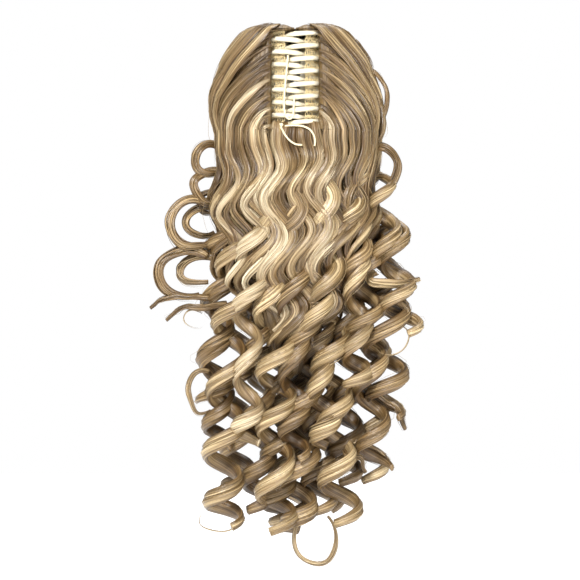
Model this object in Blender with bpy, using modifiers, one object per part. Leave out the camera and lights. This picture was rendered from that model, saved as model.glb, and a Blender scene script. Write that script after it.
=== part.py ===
# Clip-on ponytail hairpiece: a spring claw clip inside two lobes of crown hair,
# with a length of waves and ringlets hanging below it.
# Metres, +Z up. The claw's fingers face -Y, and the origin is inside the claw,
# where it grips the wearer's own ponytail.

import math

import bmesh
import bpy
from mathutils import Vector

MM = 0.001
GAP = 0.3 * MM

# Claw clip, measured round its vertical hinge axis
HINGE_Y = 28 * MM
FINGER_RADIUS = 2.2 * MM
TUBE_RESOLUTION = 1
CORD_RESOLUTION = 2
FINGER_PITCH = 11.1 * MM
TOP_FINGER = 38.7 * MM
RIGHT_POINTING = {"count": 8, "top": TOP_FINGER}
LEFT_POINTING = {"count": 7, "top": TOP_FINGER - FINGER_PITCH / 2}
JAW_HALF_HEIGHT = 40.5 * MM
PLATE = 2.4 * MM
KNUCKLE_RADIUS = 4.0 * MM
KNUCKLE_LENGTH = 10.0 * MM
PIN_RADIUS = 1.5 * MM
BORE_RADIUS = PIN_RADIUS + GAP
PIN_HEAD_RADIUS = 3.0 * MM
PIN_HEAD_LENGTH = 1.2 * MM
HANDLE_HALF_HEIGHT = 13 * MM

# Each finger leaves its wall, runs under its own net, crosses the centre line
# and lies in front of the other net. Columns: angle from the front, radius, thickness.
FINGER_PATH = [
    {"angle": -56, "radius": 29.3 * MM, "size": 1.00},
    {"angle": -34, "radius": 29.3 * MM, "size": 1.00},
    {"angle": -15, "radius": 29.6 * MM, "size": 1.00},
    {"angle": -9, "radius": 32.4 * MM, "size": 1.00},
    {"angle": -3, "radius": 35.6 * MM, "size": 1.00},
    {"angle": 4, "radius": 36.6 * MM, "size": 1.00},
    {"angle": 16, "radius": 36.6 * MM, "size": 0.98},
    {"angle": 27, "radius": 36.6 * MM, "size": 0.92},
    {"angle": 33, "radius": 36.5 * MM, "size": 0.74},
    {"angle": 35, "radius": 36.4 * MM, "size": 0.45},
]

# The jaw's wall in plan, from the hinge round to the finger roots.
WALL_PATH = [
    {"angle": -99, "radius": 5.8 * MM},
    {"angle": -94, "radius": 13 * MM},
    {"angle": -86, "radius": 22 * MM},
    {"angle": -74, "radius": 27.4 * MM},
    {"angle": -62, "radius": 29.3 * MM},
    {"angle": -53, "radius": 29.3 * MM},
]
SPINE_PATH = [{"angle": angle, "radius": 5.8 * MM} for angle in (-134, -122, -110, -98)]
HANDLE_PATH = [
    {"angle": -128, "radius": 5.8 * MM},
    {"angle": -131, "radius": 12 * MM},
    {"angle": -131, "radius": 18 * MM},
    {"angle": -136, "radius": 25 * MM},
]

# Crocheted net: columns of the strip by angle, with holes in the open columns
NET_RADIUS = 31.8 * MM
NET_THICKNESS = 1.5 * MM
NET_TOP = 41 * MM
NET_BOTTOM = -45.5 * MM
NET_ANGLES = [16, 19, 25, 28, 34, 47, 60]
NET_OPEN_COLUMNS = (1, 3)
NET_HOLE_ROWS = 9

# Crown hair. Inner radius by angle from the front; the right side leaves room
# for the right jaw to open.
LEFT_HOLLOW = [(0, 40.3), (42, 40.3), (50, 33.7), (88, 33.7), (135, 31), (180, 29)]
RIGHT_HOLLOW = [(0, 40.3), (68, 40.3), (80, 37), (122, 36), (140, 31), (180, 29)]
CROWN_FRONT_ANGLE = 31
CROWN_PARTING_ANGLE = 1.2
CROWN_COLUMNS = 18
CROWN_LOCKS = 6
CROWN_RIDGE = 1.7 * MM
CROWN_THINNEST = 1.2 * MM
LOCK_DRIFT = 130
# Columns: height, half widths to the left and right, depth in front of and
# behind the hinge. Roof rows close over the claw as far as the parting.
CROWN_ROWS = [
    {"z": 48.0, "left": 14, "right": 15, "front": 24, "back": 12, "roof": True},
    {"z": 46.4, "left": 29, "right": 31, "front": 36, "back": 27, "roof": True},
    {"z": 42.0, "left": 41.6, "right": 42, "front": 42, "back": 37, "roof": True},
    {"z": 41.7, "left": 42.2, "right": 42.6, "front": 42.2, "back": 37.4, "roof": False},
    {"z": 32, "left": 50, "right": 50, "front": 43, "back": 43, "roof": False},
    {"z": 18, "left": 60, "right": 60, "front": 43.5, "back": 47, "roof": False},
    {"z": 2, "left": 67, "right": 67, "front": 44, "back": 49, "roof": False},
    {"z": -14, "left": 71, "right": 72, "front": 44, "back": 49, "roof": False},
    {"z": -30, "left": 71, "right": 74, "front": 44, "back": 48, "roof": False},
    {"z": -46, "left": 67, "right": 73, "front": 43, "back": 46, "roof": False},
]
ROOF_BASE = 42.0
PARTING_WIDTH = 11 * MM
PARTING_FLOOR = 0.25
ROOF_HOLLOW = 1.0 * MM

# Tie cord: routes in millimetres, just in front of the fingers and the hair
CORD_RADIUS = 0.9 * MM
TIE_CORD = [
    (-6.2, -11.9, 18.3), (-7.2, -11.9, 8), (-8.4, -11.7, -5), (-9.4, -11.5, -17),
    (-9.5, -11.5, -28), (-8.2, -11.7, -34.5), (-5.0, -12.2, -37.4), (-1.9, -12.4, -34.6),
    (-1.2, -12.4, -27), (-0.6, -12.4, -18),
]
TIE_LOOP = [
    (-9.6, -7.8, -43.2), (-5, -9.8, -42.8), (1, -10.6, -42.8), (7, -11.4, -43.6),
    (12.4, -12.2, -46.2), (15.8, -12.8, -50.4), (17.4, -13.0, -55.8), (17.0, -13.0, -61),
]
TIE_END = [
    (-11.7, -8.9, -45.3), (-8.8, -12.0, -51.0), (-4.6, -13.0, -56.2), (0.5, -13.2, -59.4),
    (6.2, -13.2, -60.2),
]
KNOT_RADIUS = 2.6 * MM
KNOT_CENTRE = Vector((-12.4, -6.9, -43.2)) * MM
CORD_POINT_SPACING = 4.2 * MM

# Lengths: a tapering core, and ringlets that grow out of it
CORE_COLUMNS = 16
CORE_ROWS = [
    {"z": -46.3, "x": 2, "half_width": 66, "half_depth": 34, "y": 26},
    {"z": -72, "x": 3, "half_width": 66, "half_depth": 34, "y": 26},
    {"z": -120, "x": 2, "half_width": 61, "half_depth": 32, "y": 26},
    {"z": -165, "x": 0, "half_width": 50, "half_depth": 28, "y": 26},
    {"z": -205, "x": -2, "half_width": 36, "half_depth": 22, "y": 27},
    {"z": -240, "x": -2, "half_width": 18, "half_depth": 13, "y": 27},
    {"z": -262, "x": -2, "half_width": 7, "half_depth": 6, "y": 27},
]
RINGLET_START = -52
RINGS_A_TURN = 7
WAVE_PITCH = 66
COIL_SHARE = 0.45
# Columns: plan place at the top and the tip, direction faced in plan from the
# front towards +X, tip height, height of the full coil, and the coil itself,
# with its start in rings of a turn.
RINGLETS = [
    {"name": "front far left", "x": (-44, -62), "y": (14, 8), "faces": -35, "end": -396,
     "full": -205, "radius": 18.5, "pitch": 45, "start": 2, "hand": 1, "width": 14},
    {"name": "front left", "x": (-24, -17), "y": (10, 4), "faces": -10, "end": -400,
     "full": -235, "radius": 18.5, "pitch": 46, "start": 5, "hand": 1, "width": 14},
    {"name": "front centre", "x": (-1, 6), "y": (9, 22), "faces": 0, "end": -404,
     "full": -250, "radius": 18, "pitch": 47, "start": 1, "hand": -1, "width": 14},
    {"name": "front right", "x": (20, 38), "y": (10, 4), "faces": 10, "end": -392,
     "full": -235, "radius": 18, "pitch": 46, "start": 6, "hand": 1, "width": 14},
    {"name": "front far right", "x": (42, 68), "y": (14, 14), "faces": 35, "end": -345,
     "full": -200, "radius": 17, "pitch": 45, "start": 3, "hand": 1, "width": 13},
    {"name": "back far left", "x": (-42, -52), "y": (38, 50), "faces": -145, "end": -372,
     "full": -215, "radius": 18, "pitch": 46, "start": 7, "hand": 1, "width": 14},
    {"name": "back left", "x": (-15, -10), "y": (40, 50), "faces": 180, "end": -398,
     "full": -235, "radius": 18, "pitch": 47, "start": 4, "hand": -1, "width": 14},
    {"name": "back right", "x": (16, 32), "y": (40, 50), "faces": 172, "end": -386,
     "full": -235, "radius": 18, "pitch": 46, "start": 2, "hand": 1, "width": 14},
    {"name": "back far right", "x": (44, 72), "y": (38, 50), "faces": 145, "end": -360,
     "full": -210, "radius": 15, "pitch": 45, "start": 6, "hand": -1, "width": 13},
    {"name": "left side", "x": (-44, -98), "y": (22, 14), "faces": -80, "end": -206,
     "full": -96, "radius": 24, "pitch": 44, "start": 1, "hand": 1, "width": 10},
    {"name": "right side", "x": (46, 94), "y": (22, 14), "faces": 80, "end": -226,
     "full": -90, "radius": 17, "pitch": 45, "start": 5, "hand": 1, "width": 12},
    {"name": "right lower", "x": (44, 80), "y": (30, 22), "faces": 110, "end": -300,
     "full": -170, "radius": 22, "pitch": 46, "start": 3, "hand": -1, "width": 12},
]
RIBBON_THICKNESS = 4.0 * MM
TIP_LENGTH = 30

# Colours as linear values
IVORY = (0.86, 0.79, 0.66, 1)
HAIR = (0.33, 0.21, 0.115, 1)
NET_BROWN = (0.36, 0.22, 0.07, 1)
CORD_CREAM = (0.80, 0.70, 0.46, 1)
STEEL = (0.55, 0.55, 0.55, 1)


def clear_scene():
    """Remove what the scene holds."""
    for item in list(bpy.data.objects):
        bpy.data.objects.remove(item, do_unlink=True)


def make_collection(name):
    """A collection linked to the scene."""
    collection = bpy.data.collections.new(name)
    bpy.context.scene.collection.children.link(collection)
    return collection


def make_material(name, colour, roughness, metallic=0.0):
    """A Principled material."""
    material = bpy.data.materials.new(name)
    material.use_nodes = True
    shader = material.node_tree.nodes["Principled BSDF"]
    shader.inputs["Base Color"].default_value = colour
    shader.inputs["Roughness"].default_value = roughness
    shader.inputs["Metallic"].default_value = metallic
    material.diffuse_color = colour
    return material


def round_hinge(angle, radius, z=0.0):
    """A point at an angle from the front, turned towards +X round the hinge axis."""
    turn = math.radians(angle)
    return Vector((radius * math.sin(turn), HINGE_Y - radius * math.cos(turn), z))


def new_object(name, mesh, collection):
    """An object in a collection."""
    item = bpy.data.objects.new(name, mesh)
    collection.objects.link(item)
    return item


def outward(bm):
    """Turn all faces outwards."""
    bmesh.ops.recalc_face_normals(bm, faces=bm.faces)


def finish_mesh(bm, name, collection):
    """Write a bmesh to a new object."""
    outward(bm)
    mesh = bpy.data.meshes.new(name)
    bm.to_mesh(mesh)
    bm.free()
    return new_object(name, mesh, collection)


def loft(name, rings, collection):
    """A closed body through rings of equal point counts."""
    bm = bmesh.new()
    loops = [[bm.verts.new(point) for point in ring] for ring in rings]
    count = len(loops[0])
    for upper, lower in zip(loops, loops[1:]):
        for i in range(count):
            j = (i + 1) % count
            bm.faces.new((upper[i], upper[j], lower[j], lower[i]))
    bm.faces.new(loops[0])
    bm.faces.new(loops[-1][::-1])
    return finish_mesh(bm, name, collection)


def curve_to_mesh(curve_object, collection):
    """Make a curve object a mesh with welded caps."""
    graph = bpy.context.evaluated_depsgraph_get()
    mesh = bpy.data.meshes.new_from_object(curve_object.evaluated_get(graph))
    bm = bmesh.new()
    bm.from_mesh(mesh)
    bmesh.ops.remove_doubles(bm, verts=bm.verts, dist=0.00001)
    outward(bm)
    bm.to_mesh(mesh)
    bm.free()
    item = new_object(curve_object.name + "_mesh", mesh, collection)
    item.matrix_world = curve_object.matrix_world
    bpy.data.objects.remove(curve_object, do_unlink=True)
    return item


def tube(name, points, radius, collection, sizes=None, resolution=TUBE_RESOLUTION):
    """A tube with filled caps through a list of points."""
    curve = bpy.data.curves.new(name, "CURVE")
    curve.dimensions = "3D"
    curve.bevel_depth = radius
    curve.bevel_resolution = resolution
    curve.use_fill_caps = True
    spline = curve.splines.new("POLY")
    spline.points.add(len(points) - 1)
    for i, point in enumerate(points):
        spline.points[i].co = (*point, 1)
        spline.points[i].radius = sizes[i] if sizes else 1.0
    return new_object(name, curve, collection)


def plate(name, path, half_height, thickness, collection, side):
    """A standing plate that follows a path in plan, as a flat outline extruded."""
    centre = [round_hinge(side * -row["angle"], row["radius"]) for row in path]
    outer = []
    inner = []
    for i, point in enumerate(centre):
        before = centre[max(i - 1, 0)]
        after = centre[min(i + 1, len(centre) - 1)]
        along = (after - before).normalized()
        across = Vector((-along.y, along.x, 0)) * thickness / 2
        outer.append(point + across)
        inner.append(point - across)
    curve = bpy.data.curves.new(name, "CURVE")
    curve.dimensions = "2D"
    curve.fill_mode = "BOTH"
    curve.extrude = half_height
    outline = outer + inner[::-1]
    spline = curve.splines.new("POLY")
    spline.points.add(len(outline) - 1)
    for i, point in enumerate(outline):
        spline.points[i].co = (point.x, point.y, 0, 1)
    spline.use_cyclic_u = True
    item = new_object(name, curve, collection)
    bpy.context.view_layer.update()
    return curve_to_mesh(item, collection)


def cylinder(name, radius, z_low, z_high, collection, sides=14):
    """A cylinder on the hinge axis."""
    bm = bmesh.new()
    bmesh.ops.create_cone(bm, cap_ends=True, segments=sides, radius1=radius, radius2=radius,
                          depth=z_high - z_low)
    item = finish_mesh(bm, name, collection)
    item.location = (0, HINGE_Y, (z_low + z_high) / 2)
    return item


def apply_boolean(item, other, operation, solver="EXACT"):
    """Fuse or cut with a Boolean, and remove the other object."""
    step = item.modifiers.new(operation.lower(), "BOOLEAN")
    step.operation = operation
    step.solver = solver
    step.object = other
    bpy.context.view_layer.update()
    graph = bpy.context.evaluated_depsgraph_get()
    mesh = bpy.data.meshes.new_from_object(item.evaluated_get(graph))
    item.modifiers.clear()
    item.data = mesh
    bpy.data.objects.remove(other, do_unlink=True)


def fill_pockets(item):
    """Keep the outer skin alone, which fills pockets shut in between fused shapes."""
    bm = bmesh.new()
    bm.from_mesh(item.data)
    bmesh.ops.triangulate(bm, faces=bm.faces)
    left = set(bm.faces)
    skins = []
    while left:
        found = [left.pop()]
        for face in found:
            for edge in face.edges:
                for other in edge.link_faces:
                    if other in left:
                        left.discard(other)
                        found.append(other)
        skins.append(found)
    skins.sort(key=len)
    inner = [face for skin in skins[:-1] for face in skin]
    bmesh.ops.delete(bm, geom=inner, context="FACES")
    bm.to_mesh(item.data)
    bm.free()


def shade(item, material):
    """Set the material and smooth shading with sharp corners."""
    item.data.materials.clear()
    item.data.materials.append(material)
    item.data.shade_smooth()
    item.data.set_sharp_from_angle(angle=math.radians(40))


def set_origin(item, origin):
    """Move an object's origin without moving its mesh in the world."""
    for vert in item.data.vertices:
        vert.co = item.matrix_world @ vert.co - origin
    item.matrix_world.identity()
    item.location = origin


def make_jaw(name, side, fingers, knuckles, collection):
    """One half of the claw; side is -1 for the left half and 1 for the right."""
    jaw = plate(name, WALL_PATH, JAW_HALF_HEIGHT, PLATE, collection, side)
    jaw.name = name
    parts = [
        plate("spine", SPINE_PATH, JAW_HALF_HEIGHT - 9 * MM, PLATE, collection, side),
        plate("handle", HANDLE_PATH, HANDLE_HALF_HEIGHT, PLATE, collection, side),
    ]
    for low in knuckles:
        parts.append(cylinder("knuckle", KNUCKLE_RADIUS, low, low + KNUCKLE_LENGTH, collection))
        web = [{"angle": angle, "radius": radius} for angle, radius in
               ((-112, 3.0 * MM), (-112, 6.0 * MM))]
        joined = plate("web", web, KNUCKLE_LENGTH / 2, 4 * MM, collection, side)
        joined.location.z = low + KNUCKLE_LENGTH / 2
        parts.append(joined)
    for i in range(fingers["count"]):
        height = fingers["top"] - i * FINGER_PITCH
        points = [round_hinge(side * -row["angle"], row["radius"], height) for row in FINGER_PATH]
        sizes = [row["size"] for row in FINGER_PATH]
        finger = tube("finger", points, FINGER_RADIUS, collection, sizes)
        bpy.context.view_layer.update()
        parts.append(curve_to_mesh(finger, collection))
    for piece in parts:
        apply_boolean(jaw, piece, "UNION")
    bore = cylinder("bore", BORE_RADIUS, -JAW_HALF_HEIGHT, JAW_HALF_HEIGHT, collection, 10)
    apply_boolean(jaw, bore, "DIFFERENCE")
    return jaw


def make_pin(collection):
    """The hinge pin with a head at each end."""
    half = 3 * KNUCKLE_LENGTH + 2 * GAP
    pin = cylinder("hinge_pin", PIN_RADIUS, -half, half, collection, 10)
    for low in (-half - PIN_HEAD_LENGTH, half):
        head = cylinder("head", PIN_HEAD_RADIUS, low - 0.2 * MM, low + PIN_HEAD_LENGTH + 0.2 * MM,
                        collection)
        apply_boolean(pin, head, "UNION")
    return pin


def make_spring(collection):
    """The coil spring as one sleeve round the pin."""
    half = KNUCKLE_LENGTH - 2 * GAP
    sleeve = cylinder("hinge_spring", KNUCKLE_RADIUS, -half, half, collection)
    bore = cylinder("bore", BORE_RADIUS, -2 * half, 2 * half, collection, 10)
    apply_boolean(sleeve, bore, "DIFFERENCE")
    return sleeve


def make_net(name, side, collection):
    """A curved strip of net with its holes cut through, thickened outwards."""
    rows = 2 * NET_HOLE_ROWS + 1
    bm = bmesh.new()
    grid = []
    for r in range(rows + 1):
        z = NET_TOP + (NET_BOTTOM - NET_TOP) * r / rows
        grid.append([bm.verts.new(round_hinge(side * a, NET_RADIUS, z)) for a in NET_ANGLES])
    for r in range(rows):
        for c in range(len(NET_ANGLES) - 1):
            if r % 2 == 1 and c in NET_OPEN_COLUMNS:
                continue
            corners = (grid[r][c], grid[r][c + 1], grid[r + 1][c + 1], grid[r + 1][c])
            bm.faces.new(corners if side > 0 else corners[::-1])
    mesh = bpy.data.meshes.new(name)
    bm.to_mesh(mesh)
    bm.free()
    net = new_object(name, mesh, collection)
    walls = net.modifiers.new("thickness", "SOLIDIFY")
    walls.thickness = NET_THICKNESS
    walls.offset = -1
    return net


def smooth_step(value):
    """Ease from 0 to 1."""
    value = min(1, max(0, value))
    return value * value * (3 - 2 * value)


def read_table(table, angle):
    """Read a radius in millimetres from a table by angle."""
    for (a0, r0), (a1, r1) in zip(table, table[1:]):
        if angle <= a1:
            return r0 + (r1 - r0) * (angle - a0) / (a1 - a0)
    return table[-1][1]


def crown_point(side, angle, radius, row):
    """A point of a crown lobe, kept on its side and lowered towards the parting."""
    point = round_hinge(side * angle, radius)
    if side * point.x < GAP / 2:
        point.x = side * GAP / 2
    height = row["z"]
    if row["roof"]:
        rise = PARTING_FLOOR + (1 - PARTING_FLOOR) * smooth_step(abs(point.x) / PARTING_WIDTH)
        height = ROOF_BASE + (height - ROOF_BASE) * rise
    point.z = height * MM
    return point


def make_crown(name, side, hollow, collection):
    """One lobe of smooth crown hair, lofted downwards as a thick hollow wall."""
    width_key = "left" if side < 0 else "right"
    rings = []
    for row in CROWN_ROWS:
        start = CROWN_PARTING_ANGLE if row["roof"] else CROWN_FRONT_ANGLE
        outer = []
        inner = []
        for c in range(CROWN_COLUMNS + 1):
            share = c / CROWN_COLUMNS
            angle = start + (180 - start) * share
            turn = math.radians(angle)
            depth = row["front"] if angle < 90 else row["back"]
            reach = 1 / math.hypot(math.sin(turn) / row[width_key], math.cos(turn) / depth)
            lock = math.cos(2 * math.pi * (CROWN_LOCKS * share + row["z"] / LOCK_DRIFT))
            inside = ROOF_HOLLOW if row["roof"] else read_table(hollow, angle) * MM
            outside = reach * MM + CROWN_RIDGE * lock * math.sin(math.pi * share)
            outside = max(outside, inside + CROWN_THINNEST)
            outer.append(crown_point(side, angle, outside, row))
            inner.append(crown_point(side, angle, inside, row))
        rings.append(outer + inner[::-1])
    return loft(name, rings, collection)


def ringlet_line(row):
    """The middle line of one ringlet and the way its ribbon faces along it.

    At the top it waves from side to side; lower down it turns into a full coil.
    """
    faces = math.radians(row["faces"])
    front = Vector((math.sin(faces), -math.cos(faces), 0))
    aside = Vector((math.cos(faces), math.sin(faces), 0))
    height = RINGLET_START
    ring = row["start"]
    coiled = False
    line = []
    while True:
        grown = smooth_step((RINGLET_START - height) / (RINGLET_START - row["full"]))
        along = (RINGLET_START - height) / (RINGLET_START - row["end"])
        radius = row["radius"]
        pitch = WAVE_PITCH + (row["pitch"] - WAVE_PITCH) * grown
        x = row["x"][0] + (row["x"][1] - row["x"][0]) * smooth_step(along * 1.4)
        y = row["y"][0] + (row["y"][1] - row["y"][0]) * along
        turn = 2 * math.pi * ring / RINGS_A_TURN * row["hand"]
        forward = radius * (1 - grown + grown * math.cos(turn))
        sideways = radius * (0.3 + 0.7 * grown) * math.sin(turn)
        centre = Vector((x, y, height)) + front * forward + aside * sideways
        if ring % RINGS_A_TURN == 0 and grown > COIL_SHARE:
            coiled = True
        out = front * math.cos(turn) + aside * math.sin(turn) if coiled else front
        line.append((centre, out))
        if height <= row["end"]:
            return line
        height -= pitch / RINGS_A_TURN
        ring += 1


def ringlet_rings(row):
    """Flat sections of one ringlet's ribbon along its line."""
    line = ringlet_line(row)
    rings = []
    for i, (centre, out) in enumerate(line):
        before = line[max(i - 1, 0)][0]
        after = line[min(i + 1, len(line) - 1)][0]
        tangent = (after - before).normalized()
        across = tangent.cross(out).normalized()
        normal = across.cross(tangent)
        ease = 0.4 + 0.6 * smooth_step((centre.z - row["end"]) / TIP_LENGTH)
        half = across * row["width"] / 2 * ease
        thick = normal * RIBBON_THICKNESS / MM / 2
        rings.append([(centre + half * u + thick * v) * MM
                      for u, v in ((-1, -1), (1, -1), (1, 1), (-1, 1))])
    return rings


def make_lengths(collection):
    """The hanging lengths: ringlets fused to a tapering core."""
    rings = []
    for row in CORE_ROWS:
        ring = []
        for c in range(CORE_COLUMNS):
            turn = 2 * math.pi * c / CORE_COLUMNS
            ring.append(Vector((row["x"] + row["half_width"] * math.cos(turn),
                                row["y"] + row["half_depth"] * math.sin(turn),
                                row["z"])) * MM)
        rings.append(ring)
    lengths = loft("ringlets", rings, collection)
    for row in RINGLETS:
        lock = loft(row["name"], ringlet_rings(row), collection)
        apply_boolean(lengths, lock, "UNION", "MANIFOLD")
    fill_pockets(lengths)
    return lengths


def smooth_route(route, spacing):
    """Points at even steps along a smooth curve through a route."""
    points = [Vector(p) * MM for p in route]
    ends = [2 * points[0] - points[1]] + points + [2 * points[-1] - points[-2]]
    fine = []
    for i in range(1, len(ends) - 2):
        p0, p1, p2, p3 = ends[i - 1:i + 3]
        for k in range(12):
            t = k / 12
            fine.append(0.5 * (2 * p1 + (p2 - p0) * t + (2 * p0 - 5 * p1 + 4 * p2 - p3) * t * t
                               + (3 * p1 - p0 - 3 * p2 + p3) * t ** 3))
    fine.append(points[-1])
    total = sum((b - a).length for a, b in zip(fine, fine[1:]))
    count = max(4, round(total / spacing))
    even = [fine[0]]
    walked = 0.0
    for a, b in zip(fine, fine[1:]):
        step = (b - a).length
        while len(even) < count and walked + step >= total * len(even) / count:
            even.append(a.lerp(b, (total * len(even) / count - walked) / step))
        walked += step
    even.append(fine[-1])
    return even


def make_cord(name, route, collection):
    """A stretch of the tie cord."""
    points = smooth_route(route, CORD_POINT_SPACING)
    return tube(name, points, CORD_RADIUS, collection, resolution=CORD_RESOLUTION)


def make_knot(collection):
    """The knot that holds the cord to the net."""
    bm = bmesh.new()
    bmesh.ops.create_uvsphere(bm, u_segments=10, v_segments=6, radius=KNOT_RADIUS)
    knot = finish_mesh(bm, "tie_knot", collection)
    knot.location = KNOT_CENTRE
    return knot


def main():
    """Build every piece."""
    clear_scene()
    hairpiece = make_collection("ponytail_hairpiece")
    ivory = make_material("ivory_plastic", IVORY, 0.35)
    hair = make_material("hair", HAIR, 0.45)
    brown = make_material("net_thread", NET_BROWN, 0.8)
    cream = make_material("cord", CORD_CREAM, 0.8)
    steel = make_material("spring_steel", STEEL, 0.3, 1.0)

    left_knuckles = (-3 * KNUCKLE_LENGTH, 2 * KNUCKLE_LENGTH)
    right_knuckles = (-2 * KNUCKLE_LENGTH + GAP, KNUCKLE_LENGTH - GAP)
    left_jaw = make_jaw("left_jaw", -1, RIGHT_POINTING, left_knuckles, hairpiece)
    right_jaw = make_jaw("right_jaw", 1, LEFT_POINTING, right_knuckles, hairpiece)
    hinge = Vector((0, HINGE_Y, 0))
    set_origin(right_jaw, hinge)
    for jaw in (left_jaw, right_jaw):
        shade(jaw, ivory)
    for piece in (make_pin(hairpiece), make_spring(hairpiece)):
        shade(piece, steel)
    for name, side in (("left_net", -1), ("right_net", 1)):
        net = make_net(name, side, hairpiece)
        if side > 0:
            set_origin(net, hinge)
        shade(net, brown)
    for name, side, hollow in (("left_crown_hair", -1, LEFT_HOLLOW),
                               ("right_crown_hair", 1, RIGHT_HOLLOW)):
        shade(make_crown(name, side, hollow, hairpiece), hair)
    shade(make_lengths(hairpiece), hair)
    for name, route in (("tie_cord", TIE_CORD), ("tie_loop", TIE_LOOP), ("tie_end", TIE_END)):
        cord = make_cord(name, route, hairpiece)
        cord.data.materials.append(cream)
    shade(make_knot(hairpiece), cream)


main()
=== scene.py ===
"""Ponytail hairpiece: the curls, the claw clip with its crocheted net, and the tie cord."""
import bpy
import math
import numpy as np
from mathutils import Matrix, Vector


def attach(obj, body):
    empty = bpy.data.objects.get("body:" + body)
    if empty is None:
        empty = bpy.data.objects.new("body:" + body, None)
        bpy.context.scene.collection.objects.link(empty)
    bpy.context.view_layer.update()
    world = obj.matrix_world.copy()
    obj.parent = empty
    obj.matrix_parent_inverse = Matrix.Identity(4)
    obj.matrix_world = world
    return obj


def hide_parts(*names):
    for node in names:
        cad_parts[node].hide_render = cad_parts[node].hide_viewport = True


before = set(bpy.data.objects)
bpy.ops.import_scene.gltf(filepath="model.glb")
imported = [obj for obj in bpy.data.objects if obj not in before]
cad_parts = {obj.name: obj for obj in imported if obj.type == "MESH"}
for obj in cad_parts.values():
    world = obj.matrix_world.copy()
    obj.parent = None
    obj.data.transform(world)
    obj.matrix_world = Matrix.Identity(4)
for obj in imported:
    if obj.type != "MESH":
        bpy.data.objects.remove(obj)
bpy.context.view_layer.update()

MM = 0.001
SIDES = {"left": -1, "right": 1}

# Camera and studio
CAMERA_LENS = 100
CAMERA_SENSOR = 36
CAMERA_AWAY = 1.418
CAMERA_X = -0.0044
CAMERA_Z = -0.1866
FLOOR_Z = -0.452
FLOOR_HALF = 0.9
FLOOR_GLOW = 0.45
SOFT_LIGHT = 0.36
# Place, aim, size and power
LIGHTS = {
    "key light": ((-0.55, -1.5, 0.75), (0, 0.02, -0.18), 0.3, 47),
    "fill light": ((0.9, -1.4, -0.5), (0, 0.02, -0.3), 0.5, 24),
    "top light": ((0.1, 0.3, 1.2), (0, 0.02, -0.18), 0.5, 14)}

# The hinge and the claw, as in the part
HINGE_Y = 28.0
FINGER_RADIUS = 2.2
FINGER_PITCH = 11.1
TOP_FINGER = 38.7
FINGER_ROWS = {"left": (8, TOP_FINGER), "right": (7, TOP_FINGER - FINGER_PITCH / 2)}
# Paths round the hinge: angle from the front (minus on the half's own side), distance from the
# hinge, and for a finger its share of the full thickness
FINGER_PATH = [(-56, 29.3, 1.0), (-34, 29.3, 1.0), (-15, 29.6, 1.0), (-9, 32.4, 1.0),
               (-3, 35.6, 1.0), (4, 36.6, 1.0), (16, 36.6, 0.98), (27, 36.6, 0.92),
               (33, 36.5, 0.74), (35, 36.4, 0.45)]
FINGER_DROOP = 2.4
DROOP_ANGLES = (24, -10)
FINGER_RISE = 0.6
FINGER_END_LENGTH = 2.4
THINNEST_SHARE = 0.86
WALL_PATH = [(-99, 5.8), (-94, 13), (-86, 22), (-74, 27.4), (-62, 29.3), (-53, 29.3)]
SPINE_PATH = [(-134, 5.8), (-122, 5.8), (-110, 5.8), (-98, 5.8)]
HANDLE_PATH = [(-128, 5.8), (-131, 12), (-131, 18), (-136, 25)]
WALL_HALF_HEIGHT = 40.5
SPINE_HALF_HEIGHT = 31.5
HANDLE_HALF_HEIGHT = 13
PLATE = 2.4
KNUCKLE_LENGTH = 10
KNUCKLE_RADIUS = 4
KNUCKLE_EDGE = 0.5
KNUCKLES = {"left": (-30, 20), "right": (-19.7, 9.7)}
SPRING_TURNS = 8
SPRING_HALF_LENGTH = 8.8
SPRING_RADIUS = 3.1
SPRING_WIRE = 0.75

NET_RADIUS = 32.5
NET_TOP = 41
NET_BOTTOM = -45.5
NET_START = 16
NET_END = 60
NET_ROWS = 17
NET_COLUMNS = 15
ROW_THREAD = 0.46
COLUMN_THREAD = 0.4
EDGE_THREAD = 0.5

# Crown: height, half width on the left and right, depth before and behind the hinge
CROWN_ROWS = [
    (48.0, 14, 15, 24, 12), (46.4, 29, 31, 36, 27), (42.0, 41.6, 42, 42, 37),
    (32, 50, 50, 43, 43), (18, 60, 60, 43.5, 47), (2, 67, 67, 44, 49),
    (-14, 71, 72, 44, 49), (-30, 71, 74, 44, 48), (-46, 67, 73, 43, 46)]
# The mass of hair below the crown, in the same way
BODY_ROWS = CROWN_ROWS + [
    (-80, 67, 70, 40, 42), (-120, 71, 69, 37, 38), (-165, 70, 64, 33, 34),
    (-205, 58, 54, 29, 30), (-240, 40, 38, 24, 24)]
ROOF_BASE = 42.0
PARTING_WIDTH = 11
PARTING_FLOOR = 0.25
CROWN_FRONT_ANGLE = 31
HOLLOW = 40.3
# The hollow narrows towards the back: angle and radius
HOLLOW_PLAN = [(0, HOLLOW), (60, HOLLOW), (85, 36.5), (120, 34), (180, 29.5)]
ROOF_THICKNESS = 0.3
# Ridges of the hair beneath: how many across, and how much they turn on the way down
UNDER_FLUTES = 90
UNDER_CLUMPS = [(9, 4), (17, 3), (26, 5), (41, 4), (60, 6)]
# How much a lobe faces up, by height
UPWARD_LEAN = [(-46, -0.05), (0, 0.1), (30, 0.5), (42, 1.0), (46, 2.6), (48, 6.0)]

# Core of the hanging lengths: height, middle x, half width, half depth, middle y
CORE_ROWS = [
    (-46.3, 2, 66, 31, 27), (-72, 3, 66, 32, 26), (-120, 2, 61, 32, 26),
    (-165, 0, 50, 28, 26), (-205, -2, 36, 22, 27), (-240, -2, 18, 13, 27),
    (-262, -2, 7, 6, 27)]

# Waves below the crown: where they start, their pitch, and how they grow from nothing
WAVE_START = -46
WAVE_PITCH = 66
WAVE_FADE = 16
RINGLET_START = -52
COIL_SHARE = 0.45
COIL_HAND = -1
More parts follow.
